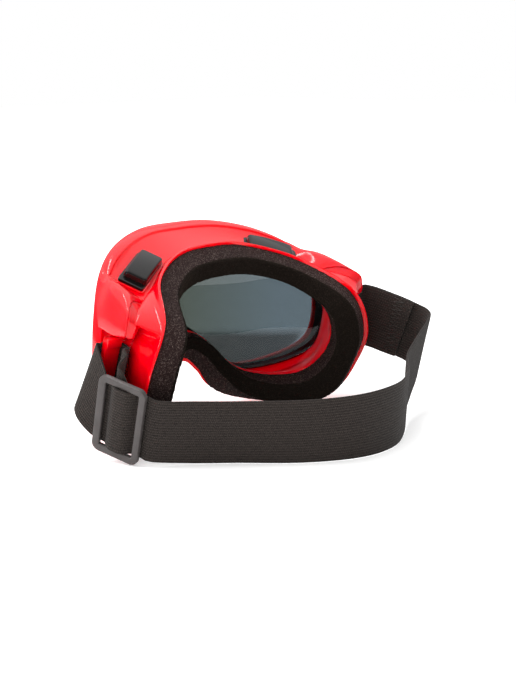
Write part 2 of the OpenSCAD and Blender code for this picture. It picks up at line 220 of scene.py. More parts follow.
def stood(half: Points, d: float, shares: Optional[Sequence[float]] = None) -> Points:
    """Stands a half outline off by d mm, straight back in the middle and outward at the sides."""
    out = []
    for i, p in enumerate(half):
        a = math.radians(50) * min(1, abs(p.x) / 85) ** 2
        away = Vector((-math.copysign(math.sin(a), p.x) if p.x else 0, math.cos(a), 0))
        out.append(p + away * d * (shares[i] if shares else 1))
    return out


def ring(half: Points, steps: int, floored: bool = False, shift: Optional[Shift] = None) -> Points:
    """Closed smooth loop through a half outline and its mirror image, in the row frame.

    Args:
        half: half outline in the leaning frame, mm.
        steps: points made for each stretch of the outline.
        floored: True where the piece rests flat on the floor.
        shift: how far each place along the half outline is moved on the wearer's left, mm.

    Returns:
        Points in metres.
    """
    full, out = mirrored(half), []
    if floored:
        full = [STANCE.tip(p) for p in full]
        full = [Vector((p.x, p.y, max(p.z, 0))) for p in full]
    for i, p in enumerate(curve(full, steps, closed=True)):
        if shift:
            way = shift(min(i / steps, len(full) - i / steps))
            p = p + Vector((math.copysign(way.x, p.x), way.y, way.z))
        if floored:
            p.z = max(p.z, 0)
            out.append(STANCE.row(p))
        else:
            out.append(STANCE.place(p))
    return out


# Meshes


def wrapped(rows: Sequence[Points], close_rows: bool = True, weights: Optional[Dict[int, float]] = None,
            cap: bool = False, creases: Optional[Dict[int, Tuple[int, int]]] = None) -> bmesh.types.BMesh:
    """Mesh whose rows of points are each closed, and joined in order, from one sheet of quads.

    Args:
        rows: loops of equally many points, metres.
        close_rows: True joins the last row to the first.
        weights: bevel weight of the edges along a row, by row number.
        cap: True fills the two open ends.
        creases: rows between which the edges across the rows are beveled, by place in the row.

    Returns:
        The mesh, with doubles merged and faces pointing out.
    """
    n, k = len(rows[0]), len(rows)
    creases = {**(creases or {}), **{n - c: span for c, span in (creases or {}).items()}}
    last = k if close_rows else k - 1
    bm = bmesh.new()
    bmesh.ops.create_grid(bm, x_segments=n, y_segments=last, size=0.5)
    bevel = bm.edges.layers.float.new("bevel_weight_edge")
    at = {}
    for v in bm.verts:
        i, j = round((v.co.x + 0.5) * n), round((v.co.y + 0.5) * last)
        at[v] = (i, j)
    for e in bm.edges:
        j0, j1 = at[e.verts[0]][1], at[e.verts[1]][1]
        if weights and j0 == j1:
            e[bevel] = weights.get(j0 % k, 0)
        first, last_row = creases.get(at[e.verts[0]][0] % n, (0, 0))
        if j0 != j1 and first <= min(j0, j1) and max(j0, j1) <= last_row:
            e[bevel] = 1.0
    for v, (i, j) in at.items():
        v.co = rows[j % k][i % n]
    bmesh.ops.remove_doubles(bm, verts=bm.verts, dist=1e-7)
    if cap:
        bmesh.ops.holes_fill(bm, edges=[e for e in bm.edges if e.is_boundary], sides=0)
    bmesh.ops.recalc_face_normals(bm, faces=bm.faces)
    return bm


def solid(name: str, bm: bmesh.types.BMesh, skin: Skin = Skin.SMOOTH) -> bpy.types.Object:
    """Turns a mesh in the row frame into an object at the origin.

    Args:
        name: name of the piece.
        bm: the mesh, which is freed.
        skin: how its faces are shaded.

    Returns:
        The new object.
    """
    mesh = bpy.data.meshes.new(name)
    bm.to_mesh(mesh)
    bm.free()
    mesh.shade_smooth()
    if skin is Skin.EDGED:
        mesh.set_sharp_from_angle(angle=math.radians(skin.value))
    obj = bpy.data.objects.new(name, mesh)
    bpy.context.scene.collection.objects.link(obj)
    return obj


def bevelled(bm: bmesh.types.BMesh, edges: Sequence[Any], offset: float, segments: int = 3) -> None:
    """Rounds the given edges of a mesh, offset being in the mesh's own unit."""
    bmesh.ops.bevel(bm, geom=list(edges), offset=offset, segments=segments, affect="EDGES", profile=0.5,
                    material=-1)


def rounded(obj: bpy.types.Object, width: float) -> None:
    """Adds a bevel of width mm along the weighted edges and a smoothing subdivision."""
    bevel = obj.modifiers.new("edge_round", "BEVEL")
    bevel.limit_method = "WEIGHT"
    bevel.width = width * MM
    bevel.segments = 2
    bevel.use_clamp_overlap = True
    smooth = obj.modifiers.new("smooth", "SUBSURF")
    smooth.levels = 1
    smooth.render_levels = 1


def settled(obj: bpy.types.Object) -> bpy.types.Object:
    """Applies the modifiers of a piece, so that its mesh is final."""
    graph = bpy.context.evaluated_depsgraph_get()
    mesh = bpy.data.meshes.new_from_object(obj.evaluated_get(graph))
    old = obj.data
    obj.modifiers.clear()
    obj.data = mesh
    bpy.data.meshes.remove(old)
    mesh.name = obj.name
    return obj


# Finishes


def linear(hex_colour: str) -> Tuple[float, ...]:
    """Linear colour of an sRGB hex value."""
    parts = [int(hex_colour[i:i + 2], 16) / 255 for i in (1, 3, 5)]
    return (*[c / 12.92 if c <= 0.04045 else ((c + 0.055) / 1.055) ** 2.4 for c in parts], 1.0)


def add(tree: bpy.types.NodeTree, kind: str, inputs: Optional[Dict[Any, Any]] = None, out: Any = 0,
        **settings: Any) -> Any:
    """Adds a shader node with its settings and what feeds its inputs.

    Args:
        tree: node tree of the material or world.
        kind: node type without its ShaderNode prefix.
        inputs: a socket, a value or a hex colour for each input, by its name or number.
        out: name or number of the output that is wanted.
        settings: the node's own properties.

    Returns:
        The wanted output, or None where the node has no outputs.
    """
    node = tree.nodes.new("ShaderNode" + kind)
    for key, value in settings.items():
        setattr(node, key, value)
    for key, value in (inputs or {}).items():
        if isinstance(value, bpy.types.NodeSocket):
            tree.links.new(value, node.inputs[key])
        else:
            node.inputs[key].default_value = linear(value) if isinstance(value, str) else value
    return node.outputs[out] if node.outputs else None


class Material:
    """A node material under construction, laid out on the piece's own coordinates."""

    def __init__(self, name: str) -> None:
        """Starts an empty material.

        Args:
            name: what the surface is made of.
        """
        self.made = bpy.data.materials.new(name)
        self.made.use_nodes = True
        self.tree = self.made.node_tree
        self.tree.nodes.clear()
        self.place = self.add("TexCoord", out="Object")

    def add(self, kind: str, inputs: Optional[Dict[Any, Any]] = None, out: Any = 0, **settings: Any) -> Any:
        """Adds a node to this material, as add() does."""
        return add(self.tree, kind, inputs, out, **settings)

    def texture(self, kind: str, size: float, detail: float = 0.0, out: str = "Fac", **settings: Any) -> Any:
        """A texture whose features measure size mm on the piece."""
        inputs = {"Vector": self.place, "Scale": 1 / (size * MM), "Detail": detail}
        return self.add(kind, inputs, out, **settings)

    def surfaced(self, **values: Any) -> bpy.types.Material:
        """Ends the material with a principled shader.

        Args:
            values: socket, value or hex colour by input name, spaces written as underscores.

        Returns:
            The finished material.
        """
        shader = self.add("BsdfPrincipled", {key.replace("_", " "): value for key, value in values.items()})
        self.add("OutputMaterial", {"Surface": shader})
        return self.made


@dataclass(frozen=True)
class GlossPlastic:
    """Polyurethane or ABS, injection-moulded in a polished tool: a clear, deep gloss."""

    name: str
    colour: str
    shade: str
    roughness: float = 0.09
    ripple: float = 0.04
    depth: float = 0.0
    mirror: float = 0.5

    def make(self) -> bpy.types.Material:
        """Builds the material: slight colour drift, faint flow ripple, fine wipe marks in the gloss."""
        m = Material(self.name)
        drift = m.add("MapRange", {0: m.texture("TexNoise", 38, 1), 1: 0.35, 2: 0.65})
        wipe = m.add("MapRange", {0: m.texture("TexNoise", 2.5, 4), 1: 0.35, 2: 0.75,
                                  3: self.roughness * 0.8, 4: self.roughness * 1.5})
        return m.surfaced(
            Base_Color=m.add("Mix", {0: drift, 6: self.colour, 7: self.shade}, 2, data_type="RGBA"),
            Roughness=wipe, IOR=1.5, Specular_IOR_Level=self.mirror,
            Normal=m.add("Bump", {"Height": m.texture("TexNoise", 9, 1), "Distance": self.ripple * MM}),
            Subsurface_Weight=self.depth, Subsurface_Radius=(1.0, 0.04, 0.04), Subsurface_Scale=6 * MM)


@dataclass(frozen=True)
class SatinPlastic:
    """Acetal moulded in a spark-eroded tool: an even fine grain that spreads the highlight."""

    name: str
    colour: str
    shade: str
    roughness: float = 0.36
    grain: float = 0.35
    depth: float = 0.012

    def make(self) -> bpy.types.Material:
        """Builds the material: fine grain in height and gloss, rubbed slightly lighter in patches."""
        m = Material(self.name)
        rubbed = m.add("MapRange", {0: m.texture("TexNoise", 6, 3), 1: 0.3, 2: 0.7})
        gloss = m.add("MapRange", {0: m.texture("TexNoise", 1.2, 3), 1: 0.3, 2: 0.7,
                                   3: self.roughness * 0.85, 4: self.roughness * 1.2})
        grain = m.texture("TexNoise", self.grain, 3)
        return m.surfaced(
            Base_Color=m.add("Mix", {0: rubbed, 6: self.colour, 7: self.shade}, 2, data_type="RGBA"),
            Roughness=gloss, IOR=1.48, Normal=m.add("Bump", {"Height": grain, "Distance": self.depth * MM}))


@dataclass(frozen=True)
class TintedLens:
    """Cast polycarbonate, dyed through: clear but dark, greener on the wearer's left, and painted lighter and
    bluer towards the wearer's right, away from the camera, as a painted reflection.
    """

    name: str
    tint: str
    # lighter, bluer colour of the side away from the camera: a painted reflection
    far: str

    def make(self) -> bpy.types.Material:
        """Builds the material: tinted transmission, painted lighter and bluer across the sheet towards the
        far side as a painted reflection.
        """
        m = Material(self.name)
        # painted reflection: the colour runs from the tint on the wearer's left to the lighter far colour on
        # the right
        drift = m.add("MapRange", {0: m.add("SeparateXYZ", {0: m.place}), 1: 55 * MM, 2: -60 * MM})
        return m.surfaced(
            Base_Color=m.add("Mix", {0: drift, 6: self.tint, 7: self.far}, 2, data_type="RGBA"),
            Roughness=0.01, IOR=1.45, Transmission_Weight=1.0, Specular_IOR_Level=0.2)


@dataclass(frozen=True)
class OpenCellFoam:
    """Reticulated polyurethane foam, cut: matt black, with painted glints on the raised cell walls."""

    name: str
    colour: str
    # colour of the painted glints on the cell walls
    spark: str
    cell: float = 0.6

    def make(self) -> bpy.types.Material:
        """Builds the material: open cells in height, and painted glints on their raised walls in patches."""
        m = Material(self.name)
        edge = m.texture("TexVoronoi", self.cell, out="Distance", feature="DISTANCE_TO_EDGE")
        wall = m.add("MapRange", {0: edge, 1: 0.0, 2: 0.22, 3: 1.0, 4: 0.0})
        fine = m.add("MapRange", {0: m.texture("TexNoise", self.cell * 0.5, 1), 1: 0.5, 2: 0.66})
        patch = m.add("MapRange", {0: m.texture("TexNoise", self.cell * 1.4, 1), 1: 0.42, 2: 0.62})
        # painted glints: the raised cell walls turn to the spark colour in patches
        painted_glint = m.add("Math", {0: wall, 1: fine}, operation="MULTIPLY")
        painted_glint = m.add("Math", {0: painted_glint, 1: patch}, operation="MULTIPLY")
        return m.surfaced(
            Base_Color=m.add("Mix", {0: painted_glint, 6: self.colour, 7: self.spark}, 2, data_type="RGBA"),
            Roughness=0.8, IOR=1.4, Specular_IOR_Level=0.15,
            Normal=m.add("Bump", {"Height": wall, "Distance": 0.3 * MM}))


@dataclass(frozen=True)
class Fleece:
    """Brushed polyester fleece bonded to the foam: short soft pile, black, with warm painted highlights where
    the pile stands highest.
    """

    name: str
    colour: str
    # colour of the painted highlights on the raised pile
    tip: str

    def make(self) -> bpy.types.Material:
        """Builds the material: fine pile height, painted highlights on the raised pile, a little sheen at
        grazing angles.
        """
        m = Material(self.name)
        pile = m.texture("TexNoise", 0.45, 3)
        # painted highlight: the pile is drawn towards the tip colour where it stands highest
        lit = m.add("MapRange", {0: pile, 1: 0.5, 2: 0.75})
        return m.surfaced(
            Base_Color=m.add("Mix", {0: lit, 6: self.colour, 7: self.tip}, 2, data_type="RGBA"),
            Roughness=0.95, IOR=1.35, Specular_IOR_Level=0.1,
            Normal=m.add("Bump", {"Height": pile, "Distance": 0.3 * MM}),
            Sheen_Weight=0.12, Sheen_Roughness=0.45, Sheen_Tint="#8A7464")


@dataclass(frozen=True)
class MattPolymer:
    """Matt black polymer, moulded as a seal or bonded as sewing thread: low gloss, slightly dusty."""

    name: str
    colour: str
    shade: str

    def make(self) -> bpy.types.Material:
        """Builds the material: low gloss and a faint uneven bloom."""
        m = Material(self.name)
        bloom = m.add("MapRange", {0: m.texture("TexNoise", 4, 4), 1: 0.4, 2: 0.7})
        return m.surfaced(
            Base_Color=m.add("Mix", {0: bloom, 6: self.colour, 7: self.shade}, 2, data_type="RGBA"),
            Roughness=0.55, IOR=1.5,
            Normal=m.add("Bump", {"Height": m.texture("TexNoise", 0.6, 3), "Distance": 0.02 * MM}))


@dataclass(frozen=True)
class Webbing:
    """Woven elastic webbing, polyester over rubber cords: ribs along it, with painted highlights on the picks
    in the grooves and on the raised fuzz.
    """

    name: str
    colour: str
    # colour of the painted highlights on the picks and the fuzz
    thread: str
    pick: float = 1.15
    rib: float = 38 / 24

    def make(self) -> bpy.types.Material:
        """Builds the material on the piece's own map: u along the webbing, v across it, in mm."""
        m = Material(self.name)
        uv = m.add("UVMap", uv_map="weave")
        along, across = (m.add("SeparateXYZ", {0: uv}, axis) for axis in "XY")
        turns = [m.add("Math", {0: place, 1: 2 * math.pi / size}, operation="MULTIPLY")
                 for place, size in ((along, self.pick), (across, self.rib * 2))]
        phase = m.add("Math", {0: turns[0], 1: turns[1]}, operation="ADD")
        pick = m.add("Math", {0: phase}, operation="SINE")
        ribs = m.add("Math", {0: across, 1: 1 / self.rib}, operation="MULTIPLY")
        place = m.add("Math", {0: ribs}, operation="FRACT")
        groove = m.add("MapRange", {0: place, 1: 0.16, 2: 0.32, 3: 1.0, 4: 0.0})
        # painted highlight: the picks in the grooves turn to the thread colour at their crests, where they
        # stand highest
        crest = m.add("MapRange", {0: pick, 1: 0.1, 2: 0.8})
        dot = m.add("Math", {0: crest, 1: groove}, operation="MULTIPLY")
        fuzz = m.texture("TexNoise", 0.5, 3)
        # painted sheen: the fuzz is drawn lighter where it stands up
        painted_fuzz_sheen = m.add("MapRange", {0: fuzz, 1: 0.35, 2: 0.7, 3: 0.0, 4: 0.35})
        light = m.add("Math", {0: dot, 1: painted_fuzz_sheen}, operation="MAXIMUM")
        height = m.add("Math", {0: m.add("MapRange", {0: pick, 1: -1}), 1: fuzz}, operation="ADD")
        return m.surfaced(
            Base_Color=m.add("Mix", {0: light, 6: self.colour, 7: self.thread}, 2, data_type="RGBA"),
            Roughness=0.8, IOR=1.45, Specular_IOR_Level=0.15, Sheen_Weight=0.08, Sheen_Roughness=0.5,
            Normal=m.add("Bump", {"Height": height, "Distance": 0.06 * MM}))


FINISHES: Dict[str, Any] = {
    # polished thermoplastic polyurethane, dyed scarlet through: deep colour under a clear gloss
    "frame": GlossPlastic("moulded_scarlet_polyurethane", "#F80012", "#F00014", depth=0.5),
    # ABS from a polished mould: near black, with a sharper gloss than the frame
    "vent": GlossPlastic("moulded_black_abs", "#0E0C0C", "#161414", roughness=0.06, ripple=0.01,
                         mirror=0.34),
    # acetal from an eroded mould: grey, and spreads the light to a soft sheen
    "adjuster": SatinPlastic("moulded_grey_acetal", "#393433", "#423D3C"),
    # dyed polycarbonate: dark but clear, with a hard smooth face
    "lens": TintedLens("dyed_polycarbonate", "#8F9381", "#A0ABB1"),
    # cut reticulated foam: its open cells swallow light, and their raised walls carry painted glints
    "foam": OpenCellFoam("reticulated_polyurethane_foam", "#2B1E1D", "#9C8A82"),
    # coarse filter foam of the vent screens: the same with larger cells and darker
    "screen": OpenCellFoam("filter_foam", "#0E0C0B", "#2E2926", cell=1.4),
    # bonded polyester fleece: the darkest part, with a soft sheen at grazing angles and painted highlights on
    # the raised pile
    "fleece": Fleece("bonded_polyester_fleece", "#130F0C", "#2E2621"),
    # moulded elastomer of the lens seal: matt, with a faint bloom
    "seal": MattPolymer("moulded_seal_elastomer", "#0B0B0B", "#161515"),
    # woven elastic: black polyester, the picks between the ribs painted lighter at their crests as a painted
    # highlight
    "webbing": Webbing("woven_elastic_webbing", "#181413", "#534A44"),
    # bonded polyester sewing thread: matt, a shade lighter than the webbing
    "thread": MattPolymer("bonded_polyester_thread", "#2B2724", "#3B3632"),
}


class Wardrobe:
    """Makes each finish once and dresses pieces with it."""

    def __init__(self) -> None:
        """Starts with nothing made."""
        self.made: Dict[str, bpy.types.Material] = {}

    def dress(self, obj: bpy.types.Object, finish: str) -> None:
        """Gives a piece one finish, which is made at its first use."""
        if finish not in self.made:
            self.made[finish] = FINISHES[finish].make()
        obj.data.materials.clear()
        obj.data.materials.append(self.made[finish])


WARDROBE = Wardrobe()


def fitted(obj: bpy.types.Object, body: str, finish: str,
           nodes: Sequence[str] = ()) -> bpy.types.Object:
    """Dresses a finished piece and hangs it on its body.

    Args:
        obj: the piece.
        body: CAD body that it rides on, empty for a piece left on no body.
        finish: name of its finish.
        nodes: CAD nodes that it stands for.

    Returns:
        The piece.
    """
    WARDROBE.dress(obj, finish)
    if nodes:
        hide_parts(*nodes)
    if body:
        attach(obj, body)
    LOG.info("piece %s: %d faces on %s", obj.name, len(obj.data.polygons), body or "a joint")
    return obj


# Sub-assemblies


@dataclass
class FrontShell:
    """The front frame: raised rim band, broad cowl and the smooth arms over the strap plates."""

    steps: int = 12
    band: float = 8.0
    step: float = 1.3
    wall: float = 2.4
    edge: float = 0.5
    arm_edge: float = 0.6
    bulge: float = 0.5
    lip: float = 5.0
    seat_front: float = 2.7
    seat_back: float = 9.0

    def rows(self) -> List[Points]:
        """Loops of the cowl's section, from the front of the rim round to its inside."""
        rim, waist, valley = RIM.points(), WAIST.points(), VALLEY.points()
        back = RIM_FRONT + self.band
        loops = [
            on_rim(rim, RIM_FRONT),
            on_rim(inset(rim, -self.bulge), RIM_FRONT + self.band / 2),
            on_rim(rim, back),
            on_rim(inset(rim, self.step), back + 0.3),
            waist,
            valley,
            inset(valley, self.wall),
            inset(waist, self.wall),
            on_rim(inset(rim, self.step + self.wall), RIM_FRONT + self.seat_back),
            on_rim(inset(rim, self.step + self.wall), RIM_FRONT + self.seat_front),
            on_rim(inset(rim, self.lip + 0.6), RIM_FRONT + self.seat_front),
            on_rim(inset(rim, self.lip), RIM_FRONT),
        ]
        return [ring(h, self.steps) for h in loops]

    def cowl(self) -> bpy.types.Object:
        """The lofted shell itself."""
        corners = {0: 1.6, 2: 1.2, 3: 0.8, 5: 0.15, 6: 0.8, 9: 0.6, 10: 0.6, 11: 0.8}
        obj = solid("cowl_shell", wrapped(self.rows(), weights=corners))
        rounded(obj, self.edge)
        return settled(obj)

    def arm(self, side: Side) -> bpy.types.Object:
        """A smooth arm from the rim band back to a squared tail that overhangs the strap plate.

        Args:
            side: the side that it stands on.

        Returns:
            The piece, in the row frame.
        """
        # on the rim, at the foot of the web to the side wall, and three rows between them
        crest, root, *back = ([Vector(p) for p in row] for row in (
            ((68, 0, 91.8), (73, 0, 90.6), (77.5, 0, 87.8), (81, 0, 83.6), (84, 0, 78.8), (86, 0, 74),
             (87.1, 0, 69.5)),
            ((56, 11, 81.5), (62, 15, 82), (68, 19, 82.6), (75, 24.5, 83.4), (82.5, 29, 83),
             (86.5, 30.5, 79.5), (88, 31, 76.5)),
            ((66, -5, 85.5), (71, -4, 89), (76, -2.5, 91.4), (81, 0.5, 90.4), (85.4, 4.6, 86), (88, 8.5, 79),
             (89, 9.8, 71.4)),
            ((63, 6, 84), (69, 7, 87.6), (75, 8.5, 90.8), (81, 12, 91.6), (86.8, 17, 88.2), (90, 20, 81.6),
             (91, 20.5, 73.4)),
            ((62, 11, 83), (69, 12, 85.6), (75, 14, 88.4), (82, 19, 90), (89.4, 26.5, 87.6),
             (91.6, 28.8, 82), (92.2, 29.5, 77))))
        swell = (0.7, 0.1, -0.2, -0.4, -0.4, -0.4, -0.4)
        low = on_rim(inset(crest, 0.9), RIM_FRONT + 0.3)
        high = on_rim([inset([p], d)[0] for p, d in zip(crest, swell)], RIM_FRONT + 3.5)
        step = moved(inset(back[-1], 1.2), 0.5)
        sections = [low, high, *back, step, root]
        loops = []
        for row in zip(*(curve(column, 6) for column in zip(*sections))):
            fine = curve(row, 5)
            loop = fine + inset(fine, self.wall - 0.2)[::-1]
            loops.append([STANCE.place(Vector((p.x * side.value, p.y, p.z))) for p in loop])
        bm = wrapped(loops, close_rows=False, cap=True)
        outline = [e for e in bm.edges if e.calc_face_angle(0) > math.radians(50)]
        bevelled(bm, outline, self.arm_edge * MM)
        return solid(f"frame_arm_{side.word}", bm)

    def build(self) -> None:
        """Makes the shell and its arms and puts them in place of the solid."""
        fitted(self.cowl(), "goggle", "frame", ["front_frame"])
        for side in Side:
            fitted(self.arm(side), "goggle", "frame")


@dataclass
class FaceShell:
    """The face frame: nest inside the cowl, concave side walls and the flange under the foam."""

    steps: int = 12
    flange: float = 1.8
    lip: float = 0.12
    wall: float = 2.4
    dip: float = 0.09
    edge: float = 0.5
    crease: float = 3.167
    shelf_start: float = 1.6
    sunk: float = 3.4
    sunk_end: float = 6.8
    tuck: Tuple[float, ...] = (0, 0, 0, 0, 0, 0.5, 2.2, 2.4, 2.8, 0.8, 0, 0)

    def pocket(self, t: float, reach: Triple, low: float) -> Vector:
        """How far the side wall is moved at place t along the half outline, mm.

        Args:
            t: place along the half outline; the shelf ends in a crease and the pocket lies under it.
            reach: how far the shelf's edge stands out at this loop.
            low: share of the pocket's depth at this loop.

        Returns:
            The move on the wearer's left.
        """
        rise = max(0.0, min(1.0, (t - self.shelf_start) / (self.crease - self.shelf_start)))
        out = Vector(reach) * rise * rise * (3 - 2 * rise)
        if t <= self.crease:
            return out
        foot = max(0.0, min(1.0, (self.sunk_end - t) / 2))
        sink = Vector((-self.sunk * low * foot * foot * (3 - 2 * foot), 0, 0))
        return mixed(out, sink, min(1.0, (t - self.crease) / 0.25))

    def build(self) -> None:
        """Makes the shell and puts it in place of the solid."""
        valley, flange, eye = (o.points() for o in (VALLEY, FLANGE, EYE))
        flange = [inset([p], d)[0] for p, d in zip(flange, self.tuck)]
        cowl, nest = WAIST.points(), self.wall + 0.4
        edge, root = moved(inset(valley, 0.05), 0.1), moved(inset(flange, 4), -2)

        def wall(share: float, reach: Triple, low: float) -> Points:
            """Loop up the side wall, with the shelf's reach and its part of the pocket's depth."""
            return ring(between(edge, root, share), self.steps, shift=lambda t: self.pocket(t, reach, low))

        rows = [
            ring(between(inset(valley, nest), inset(cowl, nest), self.dip), self.steps),
            ring(moved(inset(valley, nest), 0.1), self.steps),
            ring(edge, self.steps), wall(0.12, (13.8, 4, 6.6), 0.5),
            wall(0.35, (12, 3.4, 5), 1), wall(0.6, (8.5, 2.7, 3.2), 1), wall(0.82, (5.2, 2.5, 2), 0.8),
            ring(stood(inset(flange, 0.6), -self.flange), self.steps, True),
            ring(flange, self.steps, True),
            ring(between(flange, eye, self.lip), self.steps),
            ring(eye, self.steps),
            ring(stood(inset(eye, 0.5), -2.5), self.steps),
            ring(moved(inset(valley, nest + 2), 0.5), self.steps),
            ring(between(inset(valley, nest + 1.8), inset(cowl, nest + 1.8), self.dip), self.steps),
        ]
        corners = {0: 0.4, 1: 0.4, 2: 0.1, 7: 0.7, 8: 0.7, 10: 1.2, 11: 1.2, 13: 0.6}
        creases = {round(self.crease * self.steps): (3, 7)}
        obj = solid("face_shell", wrapped(rows, weights=corners, creases=creases))
        rounded(obj, self.edge)
        fitted(settled(obj), "goggle", "frame", ["face_frame"])


@dataclass
class FacePad:
    """Face foam and the fleece bonded to it."""

    steps: int = 26
    thick: float = 11.0
    pile: float = 1.2
    lip: float = 0.12
    root_share: Tuple[float, ...] = (1, 1, 1, 1, 1, 0.9, 0.3, 0.1, 0, 0.3, 0.8, 1)
    foam_grain: Pair = (0.35, 1.6)
    pile_grain: Pair = (0.3, 1.3)
    fill: float = 0.9

    def rails(self) -> Dict[str, Points]:
        """Corner loops of the foam and fleece sections, half outlines in mm."""
        flange, eye = FLANGE.points(), EYE.points()

        def back(share: float, depth: float, cut: float = 0.0) -> Points:
            """Loop that stands depth mm off the flange, a share of the way to the eye opening."""
            turn = FOAM_ROUND if cut else [0] * len(flange)
            base = [mixed(p, q, share + extra) for p, q, extra in zip(flange, eye, turn)]
            return stood(inset(base, cut) if cut else base, depth, FOAM_SHARE)

        return {
            "root_out": [mixed(p, q, self.lip * share) for p, q, share in zip(flange, eye, self.root_share)],
            "root_in": eye,
            "rear_out": back(self.lip + 0.1, self.thick, 1.5),
            "rear_in": back(0.97, self.thick),
            "face_out": back(self.lip + 0.16, self.thick + self.pile, 1.5),
            "face_in": back(0.94, self.thick + self.pile),
        }

    def piece(self, name: str, corners: Sequence[Points], counts: Sequence[int],
              grain: Pair) -> bpy.types.Object:
        """A soft ring, uneven on the surface, whose points stay off the floor.

        Args:
            name: name of the piece.
            corners: half outlines of its section's corner loops, mm.
            counts: steps on each side of the section.
            grain: greatest move of a point in or out and size of the unevenness, mm.

        Returns:
            The piece.
        """
        rows = []
        for i, count in enumerate(counts):
            a, b = corners[i], corners[(i + 1) % len(corners)]
            rows += [ring(between(a, b, k / count), self.steps, True) for k in range(count)]
        bm = wrapped(rows)
        bm.normal_update()
        depth, size = grain
        moves = {v: v.normal * noise.noise(v.co / (size * MM)) * depth * MM for v in bm.verts}
        for v, move in moves.items():
            v.co += move
            v.co.z = max(v.co.z, FLOOR_GAP)
        return solid(name, bm)

    def build(self) -> None:
        """Makes the foam and the fleece and puts them in place of the solids."""
        r = self.rails()
        foam = self.piece("foam_pad", [r["root_out"], r["rear_out"], r["rear_in"], r["root_in"]],
                          [9, 10, 9, 8], self.foam_grain)
        fitted(foam, "goggle", "foam", ["face_foam"])
        face = self.piece("fleece_face", [r["rear_out"], r["face_out"], r["face_in"], r["rear_in"]],
                          [2, 14, 2, 8], self.pile_grain)
        fitted(face, "goggle", "fleece", ["fleece_liner"])


@dataclass
class TopVent:
    """One sliding top vent: seat, base plate and cap, in the frame of its seat."""

    side: Side
    cap_l: float = 28.0
    cap_w: float = 11.5
    cap_h: float = 4.3
    travel: float = 3.0
    plate: float = 1.6
    gap: float = 0.15
    room: Pair = (2.0, 4.0)
    cap_over: Pair = (0.8, 1.9)
    cap_shift: Pair = (-0.4, 0.55)
    seat_low: float = -4.5
    seat_slope: float = 4.1
    pos: Triple = (49.7, -12.1, 89.7)
    yaw: float = 32.0
    roll: float = 8.0
    pitch: float = -10.0
    arch_steps: int = 14

    def matrix(self) -> Matrix:
        """Takes the seat's frame to the leaning frame of the goggles."""
        turn = (Matrix.Rotation(math.radians(self.yaw), 4, "Z")
                @ Matrix.Rotation(math.radians(self.roll), 4, "Y")
                @ Matrix.Rotation(math.radians(self.pitch), 4, "X"))
        flip = Matrix.Diagonal((self.side.value, 1, 1, 1))
        return flip @ Matrix.Translation(Vector(self.pos)) @ turn

    def placed(self, name: str, bm: bmesh.types.BMesh) -> bpy.types.Object:
        """Moves a mesh in the seat's frame, mm, to its place and makes it a piece."""
        bmesh.ops.transform(bm, matrix=self.matrix(), verts=bm.verts)
        for v in bm.verts:
            v.co = STANCE.place(v.co)
        bmesh.ops.recalc_face_normals(bm, faces=bm.faces)
        return solid(f"{name}_{self.side.word}", bm, Skin.EDGED)

    @staticmethod
    def block(length: float, width: float, low: float, high: float, corner: float, edge: float,
              arch: float = 0.0, draft: float = 0.0) -> bmesh.types.BMesh:
        """A block with rounded upright corners and a rounded top edge.

        Args:
            length: size along x, mm.
            width: size along y, mm.
            low: height of its underside, mm.
            high: height of its top, mm.
            corner: radius of the upright corners, mm.
            edge: radius of the top edge, mm.
            arch: how far the top falls off to its ends, mm.
            draft: how far the sides lean in towards the top, mm.

        Returns:
            The mesh in the seat's frame.
        """
        bm = bmesh.new()
        bmesh.ops.create_cube(bm, size=1)
        bmesh.ops.scale(bm, vec=(length, width, high - low), verts=bm.verts)
        bmesh.ops.translate(bm, vec=(0, 0, (high + low) / 2), verts=bm.verts)
        top = [v for v in bm.verts if v.co.z > (high + low) / 2]
        for v in top:
            v.co.x -= math.copysign(draft, v.co.x)
            v.co.y -= math.copysign(draft * 0.6, v.co.y)
        upright = [e for e in bm.edges if abs(e.verts[0].co.z - e.verts[1].co.z) > 0.1]
        bevelled(bm, upright, corner, 5)
        rim = [e for e in bm.edges if min(v.co.z for v in e.verts) > high - 0.01]
        bevelled(bm, rim, edge, 4)
        if arch:
            for i in range(1, TopVent.arch_steps):
                x = (i / TopVent.arch_steps - 0.5) * length
                bmesh.ops.bisect_plane(bm, geom=bm.verts[:] + bm.edges[:] + bm.faces[:],
                                       plane_co=(x, 0, 0), plane_no=(1, 0, 0))
            for v in bm.verts:
                if v.co.z > low + 0.3:
                    share = (v.co.z - low) / (high - low)
                    v.co.z -= arch * (2 * v.co.x / length) ** 2 * share
        return bm

    def build(self) -> None:
        """Makes the parts of this vent."""
        word = self.side.word
        long = self.cap_l + 2 * self.travel + self.room[0]
        wide = self.cap_w + self.room[1]
        seat = self.block(long + 1.2, wide + 1.2, self.seat_low, -0.02, corner=2.2, edge=0.4)
        # its underside rises towards the middle of the goggles
        for v in seat.verts:
            if v.co.z < self.seat_low / 2:
                v.co.z += self.seat_slope * (0.5 - v.co.x / long)
        fitted(self.placed("vent_seat", seat), "goggle", "frame")
        base = self.block(long - 2.2, wide - 0.6, 0.05, self.plate, corner=1.8, edge=0.35)
        bmesh.ops.translate(base, vec=(0.8, 0, 0), verts=base.verts)
        fitted(self.placed("vent_base", base), "goggle", "vent", [f"vent_track_{word}"])
        bottom = self.plate + self.gap
        cap = self.block(self.cap_l + self.cap_over[0], self.cap_w + self.cap_over[1], bottom,
                         bottom + self.cap_h, corner=1.9, edge=1.1, arch=0.9, draft=0.5)
        bmesh.ops.translate(cap, vec=(*self.cap_shift, 0), verts=cap.verts)
        fitted(self.placed("vent_cap", cap), f"vent_{word}", "vent", [f"vent_slider_{word}"])
        low = self.seat_low - 0.3
        screen = self.block(self.cap_l - 5, self.cap_w - 1.5, low, low + 0.8, corner=1.0, edge=0.2)
        fitted(self.placed("vent_filter", screen), "goggle", "screen", [f"vent_screen_{word}"])


